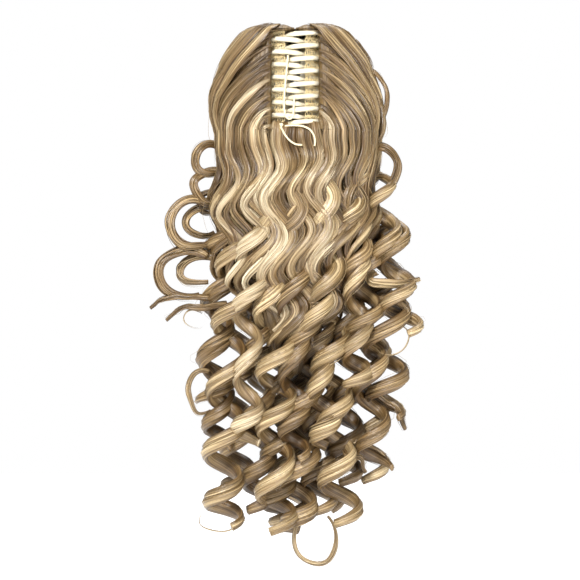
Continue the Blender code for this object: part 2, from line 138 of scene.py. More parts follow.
# A front ringlet follows the body of hair down to this height, and starts behind the waves
LAID_TO = -150
ROOT_TUCK = 10
ROOT_TUCK_LENGTH = 75
# The coils hang looser and narrower than the plain solid's
LOOSER = 1.20
NARROWER = 0.82
# A lock's flutes, the length of its tip where wisps part and the clumps that they part into,
# across its half width, and the share of straying wisps
FLUTES = 10
GATHER_LENGTH = 45
TIP_CLUMPS = np.array([-0.62, 0.05, 0.66])
STRAY_SHARE = 0.16
LOOSE_HAIR_RADIUS = 0.16
# Millimetres across and along a lock to one unit of the strands map, and how far it may shift
MAP_WIDTH = 20
MAP_LENGTH = 100
MAP_SHIFT = 40
ANY_TURN = 6.3

CORD_RADIUS = 0.9
CORD_PLIES = 3
CORD_TWIST = 5.2
PLY_DEPTH = 0.2
KNOT_CENTRE = (-12.4, -6.9, -43.2)
KNOT_STRAND = 0.85
KNOT_CORE = 1.9
KNOT_LINE = [
    (-3.2, 0, 0), (-1.2, 0, 1.5), (1.2, 0, 0.6), (2.0, -0.8, -1.2), (0.2, -1.4, -1.8),
    (-1.8, -1.2, -0.6), (-1.4, -1.0, 1.2), (0.6, -1.5, 1.9), (2.2, -0.4, 0.6)]
TIE_CORD = [
    (-6.2, -11.9, 18.3), (-7.2, -11.9, 8), (-8.4, -11.7, -5), (-9.4, -11.5, -17),
    (-9.5, -11.5, -28), (-8.2, -11.7, -34.5), (-5, -12.2, -37.4), (-1.9, -12.4, -34.6),
    (-1.2, -12.4, -27), (-0.6, -12.4, -18)]
TIE_LOOP = [
    (-9.6, -7.8, -43.2), (-5, -9.8, -42.8), (1, -10.6, -42.8), (7, -11.4, -43.6),
    (12.4, -12.2, -46.2), (15.8, -12.8, -50.4), (17.4, -13, -55.8), (17, -13, -61)]
TIE_END = [
    (-11.7, -8.9, -45.3), (-8.8, -12, -51), (-4.6, -13, -56.2), (0.5, -13.2, -59.4),
    (6.2, -13.2, -60.2)]


# Finishes

class Value:
    """A number, colour or direction that varies over a surface."""

    def __init__(self, finish, socket):
        self.finish = finish
        self.socket = socket

    def math(self, operation, *values):
        return self.finish.node("Math", {"operation": operation}, *values)

    def __add__(self, other):
        return self.math("ADD", self, other)

    def __mul__(self, other):
        return self.math("MULTIPLY", self, other)

    def __sub__(self, other):
        return self.math("SUBTRACT", self, other)


class Finish:
    """One surface finish on a Principled shader."""

    def __init__(self, name, **constants):
        self.material = bpy.data.materials.new(name)
        self.material.use_nodes = True
        self.tree = self.material.node_tree
        self.shader = next(n for n in self.tree.nodes if n.type == "BSDF_PRINCIPLED")
        for key, value in constants.items():
            self.feed(key.replace("_", " ").title().replace("Ior", "IOR"), value)

    def fill(self, socket, value):
        """Link a varying value to a socket, or set a constant one."""
        if isinstance(value, Value):
            self.tree.links.new(value.socket, socket)
        else:
            socket.default_value = value

    def feed(self, name, value):
        self.fill(self.shader.inputs[name], value)

    def node(self, kind, settings=None, *values, output=0, **named):
        """Add a node: its settings first, then the values or links of its sockets."""
        node = self.tree.nodes.new("ShaderNode" + kind)
        for key, value in (settings or {}).items():
            setattr(node, key, value)
        for key, value in list(enumerate(values)) + list(named.items()):
            self.fill(node.inputs[key], value)
        return Value(self, node.outputs[output])

    def place(self, map_name, scale):
        """Surface coordinates from a map, stretched by a scale along each axis."""
        at = self.node("UVMap", {"uv_map": map_name})
        return self.node("VectorMath", {"operation": "MULTIPLY"}, at, scale)

    def solid(self, scale=(1, 1, 1)):
        """Surface coordinates from the object's own space."""
        at = self.node("TexCoord", output=3)
        return self.node("VectorMath", {"operation": "MULTIPLY"}, at, scale)

    def noise(self, at, scale, detail=2.0, rough=0.5):
        return self.node("TexNoise", Vector=at, Scale=scale, Detail=detail, Roughness=rough)

    def step(self, value, low, high):
        """Ease from 0 to 1 between two values."""
        return self.node("MapRange", {"interpolation_type": "SMOOTHSTEP"},
                         value, low, high, 0.0, 1.0)

    def mix(self, factor, first, second, blend="MIX"):
        node = self.tree.nodes.new("ShaderNodeMix")
        node.data_type = "RGBA"
        node.blend_type = blend
        for index, value in ((0, factor), (6, first), (7, second)):
            if index and not isinstance(value, Value):
                value = (*value, 1)
            self.fill(node.inputs[index], value)
        return Value(self, node.outputs[2])

    def bump(self, height, distance, strength):
        raised = self.node("Bump", Strength=strength, Distance=distance, Height=height)
        self.feed("Normal", raised)


# Surface maps: place across and along the strands, and painted shading: above zero paints shade,
# below zero paints highlight
STRANDS = "strands"
PAINTED_SHADING_MAP = "painted_shading_map"
PAINTED_SHADING_LIMITS = (-0.35, 0.92)

WIDE_STREAKS = (2.4, 0.8, 1)
THIN_STREAKS = (12, 1.1, 1)
SINGLE_HAIRS = (28, 1.5, 1)
# How much of the red, green and blue the painted shade takes away and the painted highlight adds
PAINTED_SHADE_TINT = (0.62, 0.70, 0.80)


def hair_finish(name, dark, middle, light, light_share):
    """Glossy synthetic hair in fine lengthwise strands of three shades, with painted shade and
    painted highlight.
    """
    finish = Finish(name, specular_ior_level=0.6)
    wide = finish.noise(finish.place(STRANDS, WIDE_STREAKS), 1.0, 2, 0.55)
    thin = finish.noise(finish.place(STRANDS, THIN_STREAKS), 1.0, 3, 0.6)
    hairs = finish.noise(finish.place(STRANDS, SINGLE_HAIRS), 1.0, 2, 0.6)
    tone = finish.step(wide * 0.35 + thin * 0.65, 0.38, 0.62)
    body = finish.mix(tone, dark, middle)
    pale = finish.step(wide * 0.5 + thin * 0.5 + (light_share - 0.5) * 0.5, 0.46, 0.68)
    colour = finish.mix(pale, body, light)
    shade = finish.step(hairs, 0.32, 0.68) * 0.52 + 0.62
    # Painted shade and painted highlight: the painted shading map darkens the colour above zero
    # and lightens it below zero
    painted_shading_uv = finish.node("UVMap", {"uv_map": PAINTED_SHADING_MAP})
    gloom = finish.node("SeparateXYZ", None, painted_shading_uv)
    tint = finish.node("CombineXYZ", None,
                       *[shade - shade * gloom * share for share in PAINTED_SHADE_TINT])
    finish.feed("Base Color", finish.mix(1.0, colour, tint, "MULTIPLY"))
    finish.feed("Roughness", thin * 0.2 + 0.24)
    finish.bump(hairs * 0.9 + thin * 0.9, 0.0006, 0.7)
    return finish.material


# Dark, middle and light strands, and the share of light ones
SHADES = {
    "deep": hair_finish("hair deep brown", (0.09, 0.052, 0.018), (0.23, 0.145, 0.058),
                        (0.42, 0.30, 0.15), 0.38),
    "brown": hair_finish("hair light brown", (0.115, 0.066, 0.022), (0.31, 0.20, 0.088),
                         (0.60, 0.44, 0.23), 0.45),
    "gold": hair_finish("hair golden blond", (0.155, 0.094, 0.034), (0.40, 0.27, 0.122),
                        (0.76, 0.60, 0.355), 0.51),
    "pale": hair_finish("hair pale blond", (0.36, 0.25, 0.13), (0.66, 0.51, 0.31),
                        (0.88, 0.77, 0.54), 0.58),
}


def plastic_finish():
    """Ivory moulded plastic with a faint ripple."""
    finish = Finish("ivory plastic", coat_weight=0.3, coat_roughness=0.12)
    cloud = finish.noise(finish.solid(), 60, 3)
    finish.feed("Base Color", finish.mix(finish.step(cloud, 0.3, 0.7),
                                         (0.66, 0.59, 0.42), (0.76, 0.70, 0.55)))
    finish.feed("Roughness", cloud * 0.12 + 0.22)
    finish.bump(finish.noise(finish.solid(), 420, 3), 0.00012, 0.5)
    return finish.material


def steel_finish():
    """Drawn steel wire, brushed along its length."""
    finish = Finish("spring steel", metallic=1.0)
    brushed = finish.noise(finish.solid((1, 1, 0.1)), 900, 3)
    finish.feed("Base Color", finish.mix(brushed, (0.42, 0.42, 0.43), (0.66, 0.65, 0.63)))
    finish.feed("Roughness", brushed * 0.2 + 0.24)
    return finish.material


def thread_finish(name, dark, light):
    """Spun thread: slanted plies and loose fibres."""
    finish = Finish(name, specular_ior_level=0.3)
    at = finish.place(STRANDS, (1, THREAD_TURNS, 1))
    plies = finish.node("TexWave", {"wave_type": "BANDS", "bands_direction": "DIAGONAL"},
                        Vector=at, Scale=1.0, Distortion=0.6, Detail=1.0)
    fuzz = finish.noise(finish.solid(), 1500, 3)
    finish.feed("Base Color", finish.mix(plies * 0.6 + fuzz * 0.4, dark, light))
    finish.feed("Roughness", fuzz * 0.3 + 0.55)
    finish.bump(plies + fuzz * 0.5, 0.0002, 0.7)
    return finish.material


THREAD_TURNS = 60
PLASTIC = plastic_finish()
STEEL = steel_finish()
NET_THREAD = thread_finish("net thread", (0.52, 0.37, 0.15), (0.98, 0.84, 0.52))
CORD_THREAD = thread_finish("tie cord thread", (0.60, 0.48, 0.26), (0.90, 0.82, 0.60))


# Shape tools

def ease(value):
    """From 0 to 1 with a gentle start and end."""
    value = np.clip(value, 0, 1)
    return value * value * (3 - 2 * value)


def unit(vectors):
    return vectors / np.maximum(np.linalg.norm(vectors, axis=-1, keepdims=True), 1e-9)


def stacked(*parts):
    """Numbers or arrays of one shape, side by side as the last axis."""
    return np.stack(np.broadcast_arrays(*parts), -1)


def table_at(table, z):
    """The other columns of a table of sizes by height, read at a height."""
    heights, *columns = np.array(table)[::-1].T
    return [np.interp(z, heights, column) for column in columns]


def round_hinge(angle, radius, z):
    """A point by its angle from the front round the hinge, in millimetres."""
    turn = np.radians(angle)
    return stacked(radius * np.sin(turn), HINGE_Y - radius * np.cos(turn), z)


def smooth_path(points, steps):
    """A smooth curve through a few points."""
    points = np.asarray(points, float)
    ends = np.vstack([2 * points[0] - points[1], points, 2 * points[-1] - points[-2]])
    t = (np.arange(steps) / steps)[:, None]
    spans = []
    for p0, p1, p2, p3 in zip(ends, ends[1:], ends[2:], ends[3:]):
        spans.append(0.5 * (2 * p1 + (p2 - p0) * t + (2 * p0 - 5 * p1 + 4 * p2 - p3) * t ** 2
                            + (3 * p1 - p0 - 3 * p2 + p3) * t ** 3))
    return np.vstack(spans + [points[-1:]])


def even_path(points, count):
    """The same path with its points evenly spaced."""
    length = walked(points)
    at = np.linspace(0, length[-1], count)
    return stacked(*[np.interp(at, length, column) for column in points.T])


def walked(line):
    """The distance walked along a line at each of its points."""
    return np.concatenate([[0], np.cumsum(np.linalg.norm(np.diff(line[:, :3], axis=0), axis=1))])


def drift(rng, count, waves, size):
    """A slow random curve of a few waves along a line."""
    t = np.linspace(0, 1, count)
    total = np.zeros(count)
    for k in range(1, waves + 1):
        height = rng.normal() / k
        total += height * np.sin(2 * np.pi * k * t * rng.uniform(0.5, 1.0)
                                 + rng.uniform(0, ANY_TURN))
    return total * size


def add_object(name, data):
    item = bpy.data.objects.new(name, data)
    bpy.context.scene.collection.objects.link(item)
    return item


def make_mesh(name, grids, material):
    """One mesh from grids of points in millimetres: rows along, columns round each section.

    Each grid is (points, places). A place is across and along the strands, and for hair also
    its painted shading: shade above zero, highlight below. Both ends of a grid are capped.
    """
    verts, faces, strand_map, caps = [], [], [], []
    base = 0
    for points, places in grids:
        rows, columns = points.shape[:2]
        index = base + np.arange(rows * columns).reshape(rows, columns)
        beside = np.roll(index, -1, 1)
        faces.append(stacked(index[:-1], beside[:-1], beside[1:], index[1:]).reshape(-1, 4))
        places = np.concatenate([places[..., :2], np.clip(places[..., 2:], *PAINTED_SHADING_LIMITS)], -1)
        low, high = places[:-1], places[1:]
        strand_map.append(np.stack([low, np.roll(low, -1, 1), np.roll(high, -1, 1), high], 2)
                          .reshape(-1, places.shape[-1]))
        verts.append(points.reshape(-1, 3))
        caps.append(index[0, ::-1])
        caps.append(index[-1])
        base += rows * columns
    verts = np.vstack(verts) * MM
    faces = np.vstack(faces)
    strand_map = np.vstack(strand_map)
    corners = np.concatenate([faces.ravel()] + caps)
    starts = np.cumsum([0] + [4] * len(faces) + [len(cap) for cap in caps])[:-1]
    mesh = bpy.data.meshes.new(name)
    mesh.vertices.add(len(verts))
    mesh.vertices.foreach_set("co", verts.astype(np.float32).ravel())
    mesh.loops.add(len(corners))
    mesh.loops.foreach_set("vertex_index", corners.astype(np.int32))
    mesh.polygons.add(len(starts))
    mesh.polygons.foreach_set("loop_start", starts.astype(np.int32))
    for map_name, columns in ((STRANDS, strand_map[:, :2]), (PAINTED_SHADING_MAP, strand_map[:, 2:])):
        if columns.shape[1]:
            uv = np.zeros((len(corners), 2), np.float32)
            uv[:len(columns), :columns.shape[1]] = columns
            mesh.uv_layers.new(name=map_name).data.foreach_set("uv", uv.ravel())
    mesh.update(calc_edges=True)
    mesh.validate()
    mesh.polygons.foreach_set("use_smooth", np.ones(len(mesh.polygons), bool))
    mesh.materials.append(material)
    return add_object(name, mesh)


def section_frames(line, outs):
    """Across and outward directions at each point of a line."""
    tangent = unit(np.gradient(line, axis=0))
    across = unit(np.cross(tangent, outs))
    return across, np.cross(across, tangent)


def offset(line, across, normal, aside, raised):
    """Points beside and above a line, given for each section."""
    points = line[:, None] + across[:, None] * aside[..., None]
    return points + normal[:, None] * raised[..., None]


def ribbon(line, outs, width, thickness, rng, gloom, tip, start):
    """The body of a lock: a flat section of fine flutes that drift along it."""
    count = len(line)
    across, normal = section_frames(line, outs)
    length = walked(line)
    left = length[-1] - length
    end_share = 0.3 + 0.5 * tip
    taper = np.minimum(ease(start + length / 40),
                       0.7 - 0.5 * tip + end_share * ease(left / 34))
    half = width / 2 * taper * (1 + drift(rng, count, 5, 0.07))
    columns = 2 * FLUTES + 1
    s = np.linspace(-1, 1, columns)
    wander = s + drift(rng, count, 3, 0.06)[:, None] * (1 - s ** 2)
    dome = 1 - np.abs(s) ** 2.4
    crest = np.arange(columns) % 2
    clumps = np.zeros((count, columns))
    for _ in range(3):
        phase = rng.uniform(0, ANY_TURN) + drift(rng, count, 3, 0.9)
        clumps += np.sin(s * rng.uniform(1.0, 3.4) * np.pi + phase[:, None]) / 3
    raised = thickness * (dome * (0.5 + 0.22 * clumps) + 0.05 * crest)
    front = offset(line, across, normal, half[:, None] * wander, raised * taper[:, None])
    back_s = s[::-4][1:-1]
    sunk = -thickness * 0.5 * (1 - np.abs(back_s) ** 2.4) * taper[:, None]
    back = offset(line, across, normal, half[:, None] * back_s, sunk)
    u = np.concatenate([s, back_s]) * width / MAP_WIDTH + rng.uniform(0, MAP_SHIFT)
    # Painted shade: the flutes grow darker towards the edges, and the back, the side turned in, is
    # darker still
    deep = np.concatenate([0.03 + 0.95 * np.abs(s) ** 3, 0.7 + 0 * back_s])
    places = stacked(u, length[:, None] / MAP_LENGTH, deep + gloom[:, None])
    return np.concatenate([front, back], 1), places


def wisp(line, outs, width, thickness, taper, place, gloom):
    """One flat wisp of hair with a lens-shaped section."""
    across, normal = section_frames(line, outs)
    half = (width / 2 * taper)[:, None]
    thick = (thickness / 2 * taper)[:, None]
    points = np.stack([line - across * half, line + normal * thick,
                       line + across * half, line - normal * thick], 1)
    u = place + np.array([-1, 0, 1, 2]) * width / MAP_WIDTH
    # Painted shade: darker at the two edges and much darker underneath
    deep = np.array([0.10, 0, 0.10, 0.75])
    return points, stacked(u, walked(line)[:, None] / MAP_LENGTH, deep + gloom[:, None])


def lock(line, outs, width, depth, wisps, rng, wisp_width=1.3, root=0.7, tip=0.55, body=True,
         gloom=0.0):
    """A lock of hair: a fluted body under wisps that wander a little and part at the tip."""
    count = len(line)
    across, normal = section_frames(line, outs)
    length = walked(line)
    t = length / length[-1]
    index = np.arange(count)
    # The painted shading gets a random offset for the whole lock and a slow drift along it
    gloom = gloom + rng.normal(0.04, 0.13) + drift(rng, count, 4, 0.06)
    twist = drift(rng, count, 3, 0.22)
    streak = rng.uniform(0, MAP_SHIFT)
    swell = 0.3 + 0.7 * ease(length / 16)
    open_up = (root + (1 - root) * ease(t * 6)) * (1 + drift(rng, count, 5, 0.07))
    gather = ease((length - (length[-1] - GATHER_LENGTH)) / GATHER_LENGTH)
    centres = TIP_CLUMPS + rng.normal(0, 0.08, 3)
    grids = []
    if body:
        start = 0.7 if root > 0.8 else 0.3
        grids.append(ribbon(line, outs, width, depth, rng, gloom, tip, start))
    for k in range(wisps):
        p = -1 + 2 * (k + rng.uniform(0.1, 0.9)) / wisps
        stray = 2.6 if rng.random() < STRAY_SHARE else 1.0
        p_line = p + drift(rng, count, 6, 0.09 * stray)
        goal = centres[np.argmin(np.abs(centres - p))] + rng.normal(0, 0.10)
        p_line = p_line * (1 - gather * tip) + goal * gather * tip
        layer = rng.uniform(0.0, 0.14)
        raised = depth * (0.50 * (1 - p * p) + layer) * swell + drift(rng, count, 6, 0.22 * stray)
        side = width / 2 * open_up * p_line
        tilt = twist * p_line * width / 2
        points = line + across * side[:, None] + normal * (raised + tilt)[:, None]
        lag = rng.normal(0, 1.6)
        moved = np.clip(index + lag * count / length[-1] * ease(t * 5), 0, count - 1)
        points = stacked(*[np.interp(moved, index, column) for column in points.T])
        end = count - int(rng.uniform(0, 0.05) * count) - 1
        start = int(rng.uniform(0, 0.012) * count)
        points = points[start:end]
        facing = unit(outs[start:end] + across[start:end] * (0.8 * p * depth / 4))
        span = t[start:end] * length[-1]
        taper = np.minimum(0.45 + 0.55 * ease(span / 14),
                           0.12 + 0.88 * ease((span[-1] - span) / 30))
        size = wisp_width * rng.uniform(0.6, 1.25)
        place = streak + p * width / MAP_WIDTH + rng.normal(0, 0.06)
        # Painted shade: wisps near the edges and lower in the stack are drawn darker, with some
        # random spread
        deep = gloom[start:end] + 0.45 * abs(p) ** 3 - layer * 0.3 + rng.normal(0.06, 0.10)
        thickness = size * rng.uniform(0.26, 0.36)
        grids.append(wisp(points, facing, size, thickness, taper, place, deep))
    return grids


def make_hair(name, grids, shade, *stands_for):
    """One piece of hair, in place of the plain solids that it stands for."""
    piece = make_mesh(name, grids, SHADES[shade])
    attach(piece, "clip")
    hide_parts(*stands_for)


def loose_hairs(line, outs, amount, roam, rng):
    """Single hairs that stray round a lock."""
    count = len(line)
    across, normal = section_frames(line, outs)
    grow = 0.35 + 0.65 * np.linspace(0, 1, count)
    grids = []
    for _ in range(amount):
        first = int(rng.uniform(0, 0.5) * count)
        last = int(rng.uniform(0.55, 1.0) * count)
        aside = rng.uniform(-0.6, 0.6) * roam + drift(rng, count, 7, roam * 0.6) * grow
        above = rng.uniform(0.2, 1.0) * 2 + drift(rng, count, 7, roam * 0.4) * grow
        points = (line + across * aside[:, None] + normal * above[:, None])[first:last:2]
        if len(points) < 8:
            continue
        size = LOOSE_HAIR_RADIUS * rng.uniform(0.7, 1.3)
        steps = np.arange(len(points))
        fade = np.minimum(1, np.minimum(steps, steps[::-1]) / 6 + 0.2)
        grid, places = tube(points, size * fade, 3, outs[first:last:2])
        grids.append((grid, places + [rng.uniform(0, MAP_SHIFT), 0]))
    return grids


def tube(line, radius, sides, outs=(0.13, -0.94, 0.3)):
    """A round tube. Its radius is one number, one for each point, or one for each corner."""
    line = np.asarray(line, float)
    across, normal = section_frames(line, np.broadcast_to(outs, line.shape))
    turn = 2 * np.pi * np.arange(sides) / sides
    if np.ndim(radius) < 2:
        radius = np.broadcast_to(radius, (len(line),))[:, None]
    points = offset(line, across, normal, radius * np.cos(turn), radius * np.sin(turn))
    return points, stacked(turn / (2 * np.pi), walked(line)[:, None] / MAP_LENGTH)


# Studio

def make_camera():
    data = bpy.data.cameras.new("camera")
    data.lens = CAMERA_LENS
    data.sensor_width = CAMERA_SENSOR
    camera = add_object("camera", data)
    camera.location = (CAMERA_X, -CAMERA_AWAY, CAMERA_Z)
    camera.rotation_euler = (math.pi / 2, 0, 0)
    bpy.context.scene.camera = camera


def make_studio():
    """A pale floor and soft lights. The camera sees white behind everything."""
    world = bpy.data.worlds.new("studio")
    world.use_nodes = True
    tree = world.node_tree
    sky = tree.nodes["Background"]
    seen = tree.nodes.new("ShaderNodeLightPath")
    level = tree.nodes.new("ShaderNodeMapRange")
    level.inputs["To Min"].default_value = SOFT_LIGHT
    tree.links.new(seen.outputs["Is Camera Ray"], level.inputs["Value"])
    tree.links.new(level.outputs["Result"], sky.inputs["Strength"])
    sky.inputs["Color"].default_value = (1, 1, 1, 1)
    bpy.context.scene.world = world
    bpy.context.scene.view_settings.view_transform = "Standard"
    for name, (place, aim, size, power) in LIGHTS.items():
        data = bpy.data.lights.new(name, "AREA")
        data.size = size
        data.energy = power
        light = add_object(name, data)
        light.location = place
        light.rotation_euler = (Vector(aim) - Vector(place)).to_track_quat("-Z", "Y").to_euler()
    mesh = bpy.data.meshes.new("floor")
    corners = [(x * FLOOR_HALF, y * FLOOR_HALF, FLOOR_Z)
               for x, y in ((-1, -1), (1, -1), (1, 1), (-1, 1))]
    mesh.from_pydata(corners, [], [(0, 1, 2, 3)])
    finish = Finish("pale floor", roughness=0.9, specular_ior_level=0.1,
                    base_color=(0.93, 0.93, 0.93, 1), emission_color=(1, 1, 1, 1),
                    emission_strength=FLOOR_GLOW)
    mesh.materials.append(finish.material)
    floor = add_object("floor", mesh)


# Tie cord

def twisted_cord(name, route):
    """A cord of plies wound round its route."""
    line = smooth_path(route, 10)
    line = even_path(line, max(12, int(walked(line)[-1] / 0.45)))
    sides = 18
    turn = 2 * np.pi * np.arange(sides) / sides
    wind = walked(line) * 2 * np.pi / CORD_TWIST
    plies = np.abs(np.cos(CORD_PLIES / 2 * (turn - wind[:, None])))
    radius = CORD_RADIUS * (1 - PLY_DEPTH + PLY_DEPTH * plies)
    piece = make_mesh(name, [tube(line, radius, sides)], CORD_THREAD)
    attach(piece, "clip")
    return piece, line * MM


def make_cords():
    knot_line = smooth_path(KNOT_LINE, 8)
    knot = make_mesh("knot", [tube(knot_line + KNOT_CENTRE, KNOT_STRAND, 10)], CORD_THREAD)
    turn = np.linspace(0, np.pi, 10)
    ball = stacked(0, 0, -KNOT_CORE * np.cos(turn)) + KNOT_CENTRE
    girth = np.maximum(KNOT_CORE * np.sin(turn), 0.05)
    core = make_mesh("knot_core", [tube(ball, girth, 14, (0, -1, 0))], CORD_THREAD)
    for piece in (knot, core):
        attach(piece, "clip")
        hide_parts("tie_knot")
    hanging, path = twisted_cord("tie_cord_twist", TIE_CORD)
    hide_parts("tie_cord")
    end, _ = twisted_cord("tie_end_twist", TIE_END)
    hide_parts("tie_end")
    loop, path = twisted_cord("tie_loop_twist", TIE_LOOP)
    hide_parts("tie_loop")


# Claw

def plate_grid(path, side, half_height, thickness):
    """A standing plate with rounded edges that follows a path in plan."""
    angle, radius = np.array(path).T
    plan = smooth_path(round_hinge(-side * angle, radius, 0.0), 6)
    tangent = unit(np.gradient(plan, axis=0))
    across = stacked(-tangent[:, 1], tangent[:, 0], 0)
    turn = np.linspace(0, 2 * np.pi, 28, endpoint=False)
    outline_x = np.sign(np.cos(turn)) * np.abs(np.cos(turn)) ** 0.5 * thickness / 2
    outline_z = np.clip(np.sin(turn) * 1.25, -1, 1)
    lift = np.where(np.abs(outline_z) >= 1, half_height, half_height - 0.8) * np.sign(outline_z)
    lift = np.where(np.abs(outline_z) < 0.2, 0, lift)
    points = plan[:, None] + across[:, None] * outline_x[:, None]
    points[..., 2] += lift
    return points, stacked(turn, walked(plan)[:, None] / MAP_LENGTH)


def make_claw(side_name, side):
    """One half of the claw: wall, spine, handle, fingers and knuckles."""
    count, top = FINGER_ROWS[side_name]
    grids = [plate_grid(WALL_PATH, side, WALL_HALF_HEIGHT, PLATE),
             plate_grid(SPINE_PATH, side, SPINE_HALF_HEIGHT, PLATE),
             plate_grid(HANDLE_PATH, side, HANDLE_HALF_HEIGHT, PLATE)]
    angle, radius, share = np.array(FINGER_PATH, float).T
    first, last = DROOP_ANGLES
    droop = FINGER_DROOP * np.clip((first - angle) / (first - last), 0, 1)
    for i in range(count):
        z = top - i * FINGER_PITCH + FINGER_RISE - droop
        route = np.hstack([round_hinge(side * -angle, radius, z), share[:, None]])
        fine = even_path(smooth_path(route, 8), 70)
        tail = np.clip((walked(fine)[-1] - walked(fine)) / FINGER_END_LENGTH, 0, 1)
        round_end = np.maximum(np.sqrt(1 - (1 - tail) ** 2), 0.04)
        thick = FINGER_RADIUS * round_end * np.maximum(fine[:, 3], THINNEST_SHARE)
        grids.append(tube(fine[:, :3], thick, 16))
    for low in KNUCKLES[side_name]:
        heights = [0, KNUCKLE_EDGE, KNUCKLE_LENGTH / 2, KNUCKLE_LENGTH - KNUCKLE_EDGE,
                   KNUCKLE_LENGTH]
        radii = KNUCKLE_RADIUS - KNUCKLE_EDGE * np.array([1, 0, 0, 0, 1])
        grids.append(tube([[0, HINGE_Y, low + z] for z in heights], radii, 28))
    claw = make_mesh(side_name + "_claw", grids, PLASTIC)
    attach(claw, "clip" if side < 0 else "right_half")
    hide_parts(side_name + "_jaw")


def make_spring():
    """The wound spring on the pin."""
    t = np.linspace(0, 1, 260)
    angle = 2 * np.pi * SPRING_TURNS * t
    line = stacked(SPRING_RADIUS * np.sin(angle), HINGE_Y - SPRING_RADIUS * np.cos(angle),
                   -SPRING_HALF_LENGTH + 2 * SPRING_HALF_LENGTH * t)
    spring = make_mesh("wound_spring", [tube(line, SPRING_WIRE, 8)], STEEL)
    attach(spring, "clip")
    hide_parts("hinge_spring")
    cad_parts["hinge_pin"].material_slots[0].material = STEEL


# Crocheted net

def make_net(side_name, side):
    """Chain-stitched rows with openwork between them, round one side of the claw."""
    rng = np.random.default_rng(5 + side)
    grids = []
    for z in np.linspace(NET_TOP - 0.8, NET_BOTTOM + 0.8, NET_ROWS):
        span = np.linspace(NET_START + 0.6, NET_END - 0.6, 70)
        loops = span * 0.75 + rng.uniform(0, 6)
        for phase in (0, np.pi):
            line = round_hinge(side * span, NET_RADIUS + 0.35 * np.cos(loops + phase),
                               z + 0.95 * np.sin(loops + phase))
            grids.append(tube(line, ROW_THREAD, 5))
    last = NET_COLUMNS - 1
    for k in range(NET_COLUMNS):
        angle = NET_START + 0.8 + (NET_END - NET_START - 1.6) * k / last
        z = np.linspace(NET_TOP - 0.5, NET_BOTTOM + 0.5, 90)
        loops = z * 1.05 + rng.uniform(0, 6)
        line = round_hinge(side * (angle + 0.9 * np.sin(loops)),
                           NET_RADIUS + 0.4 * np.cos(loops * 1.3), z)
        grids.append(tube(line, EDGE_THREAD if k in (0, last) else COLUMN_THREAD, 5))
    net = make_mesh(side_name + "_crochet", grids, NET_THREAD)
    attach(net, "clip" if side < 0 else "right_half")
    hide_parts(side_name + "_net")


# Crown

def crown_point(side, angle, z, lift=0.0):
    """A point on a lobe by its angle from the front and its height."""
    angle, z, lift = np.broadcast_arrays(np.asarray(angle, float), z, lift)
    left, right, front, back = table_at(BODY_ROWS, z)
    width = left if side < 0 else right
    turn = np.radians(angle)
    depth = np.where(angle < 90, front, back)
    reach = 1 / np.hypot(np.sin(turn) / width, np.cos(turn) / depth)
    point = round_hinge(side * angle, reach + lift, z)
    point[..., 0] = side * np.maximum(side * point[..., 0], 0.2)
    beside = ease(np.abs(point[..., 0]) / PARTING_WIDTH)
    rise = PARTING_FLOOR + (1 - PARTING_FLOOR) * beside
    point[..., 2] = np.where(z > ROOF_BASE, ROOF_BASE + (z - ROOF_BASE) * rise, z)
    return point


def meridian(side, angle, share, lift=0.0):
    """A point on a lobe by how far down from the top it lies, from 0 to 1."""
    rows = np.array(CROWN_ROWS)
    steps = np.concatenate([[0], np.cumsum(np.hypot(np.diff(rows[:, 0]), np.diff(rows[:, 1])))])
    z = np.interp(share, steps / steps[-1], rows[:, 0])
    return crown_point(side, angle, z, lift)


def lobe_outs(side, angle, z):
    """The outward direction of a lobe near a point."""
    out = round_hinge(side * np.asarray(angle, float), 1.0, 0.0) - [0, HINGE_Y, 0]
    out = np.broadcast_to(out, (*np.shape(angle), 3)).copy()
    out[..., 2] = np.interp(z, *np.array(UPWARD_LEAN).T)
    return unit(out)


def make_under_crown(side_name, side):
    """The smooth hair beneath, as a fluted shell with the lobe's own hollow."""
    rng = np.random.default_rng(11 + side)
    shares = np.linspace(0.0, 1.0, 46)
    columns = np.linspace(0, 1, UNDER_FLUTES * 2 + 1)
    rings, places = [], []
    wander = rng.uniform(0, ANY_TURN, len(UNDER_CLUMPS))
    for share in shares:
        z = meridian(side, 90, share)[..., 2]
        roof = z > ROOF_BASE
        start = 1.2 if roof else CROWN_FRONT_ANGLE
        angle = start + (180 - start) * columns
        clump = sum(np.sin(columns * ridges * np.pi + phase + share * turned)
                    for (ridges, turned), phase in zip(UNDER_CLUMPS, wander)) / len(wander)
        lift = 0.5 * clump + 0.25 * (np.arange(len(columns)) % 2) - 0.6
        outer = meridian(side, angle, share, lift)
        inner_angle = angle[::-6]
        if roof:
            inner = round_hinge(side * inner_angle, 1.0, z - ROOF_THICKNESS)
        else:
            hollow = np.interp(inner_angle, *np.array(HOLLOW_PLAN).T)
            inner = round_hinge(side * inner_angle, hollow, z)
        rings.append(np.concatenate([outer, inner]))
        places.append(np.concatenate([angle, inner_angle]) / 9.0 + 50)
    uv = stacked(np.array(places), np.linspace(0, 1.1, len(shares))[:, None])
    # Its deep brown is painted shade: the hair beneath the locks is drawn dark
    make_hair(side_name + "_under_crown", [(np.array(rings), uv)], "deep",
              side_name + "_crown_hair")


# Locks that lie on the lobes and hang on below: angle at the top and bottom, share down at the
# top, bow, width, lift, end height, shade
LOBE_LOCKS = [
    (24, 80, 0.10, 9, 14, 2.2, -150, "gold"), (38, 88, 0.06, 7, 14, 2.6, -170, "brown"),
    (54, 97, 0.05, 5, 15, 2.6, -200, "gold"), (70, 108, 0.05, 3, 16, 2.4, -170, "brown"),
    (86, 119, 0.05, 3, 16, 2.2, -215, "gold"), (103, 131, 0.05, 2, 17, 2.0, -190, "brown"),
    (121, 143, 0.05, 2, 17, 2.0, -225, "brown"), (139, 156, 0.05, 2, 17, 2.0, -200, "gold"),
    (157, 170, 0.06, 1, 16, 1.8, -230, "brown")]

